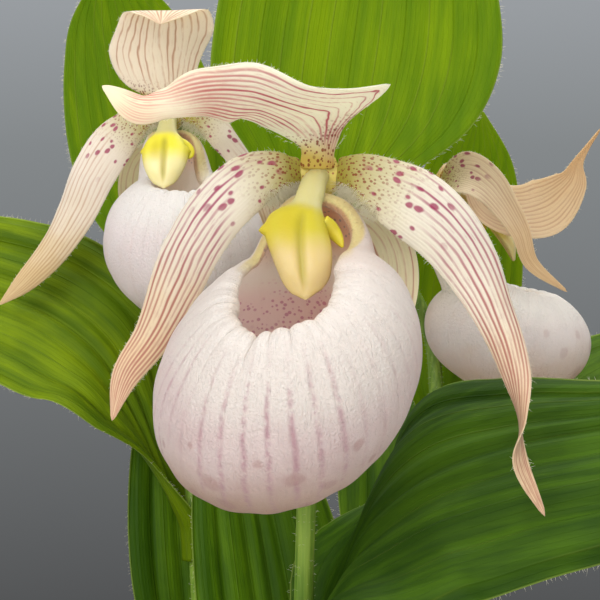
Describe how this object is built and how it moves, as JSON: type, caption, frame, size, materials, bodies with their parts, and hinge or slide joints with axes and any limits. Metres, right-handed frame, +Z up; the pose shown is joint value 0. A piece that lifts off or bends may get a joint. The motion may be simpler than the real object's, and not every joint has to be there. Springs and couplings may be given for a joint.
{
  "type": "potted slipper orchid",
  "caption": "Leafy slipper orchid in bloom, its pouched flowers on separate stems with broad ribbed leaves, in a plain round plastic pot.",
  "frame": {"origin": "centre of the flat base of the pot, on the surface it stands on", "axes": "+Z up along the pot and the stems, -Y towards the viewer of the picture, +X to the viewer's right"},
  "size_m": [0.2993, 0.2916, 0.4635],
  "materials": {
    "pot": "matt moulded plastic",
    "soil": "damp fibrous bark mix",
    "stem": "satin, finely downy",
    "leaf": "satin, ribbed along the leaf",
    "bract": "satin, thin and translucent",
    "petal": "soft satin, striped and spotted",
    "sepal": "soft satin, striped",
    "lip": "waxy satin, finely wrinkled",
    "column": "waxy satin"
  },
  "bodies": {
    "root": {"pot": "pot", "soil": "soil", "a_stem": "stem", "b_stem": "stem", "c_stem": "stem", "a_low_leaf": "leaf", "a_middle_leaf": "leaf", "a_top_leaf": "leaf", "b_low_leaf": "leaf", "b_middle_leaf": "leaf", "b_top_leaf": "leaf", "c_low_leaf": "leaf", "c_middle_leaf": "leaf", "c_top_leaf": "leaf", "a_bract": "bract", "b_bract": "bract", "c_bract": "bract", "a_left_petal": "petal", "a_right_petal": "petal", "b_left_petal": "petal", "b_right_petal": "petal", "c_left_petal": "petal", "c_right_petal": "petal", "a_dorsal_sepal": "sepal", "a_synsepal": "sepal", "b_dorsal_sepal": "sepal", "b_synsepal": "sepal", "c_dorsal_sepal": "sepal", "c_synsepal": "sepal", "a_lip": "lip", "b_lip": "lip", "c_lip": "lip", "a_column": "column", "b_column": "column", "c_column": "column"}
  },
  "joints": []
}
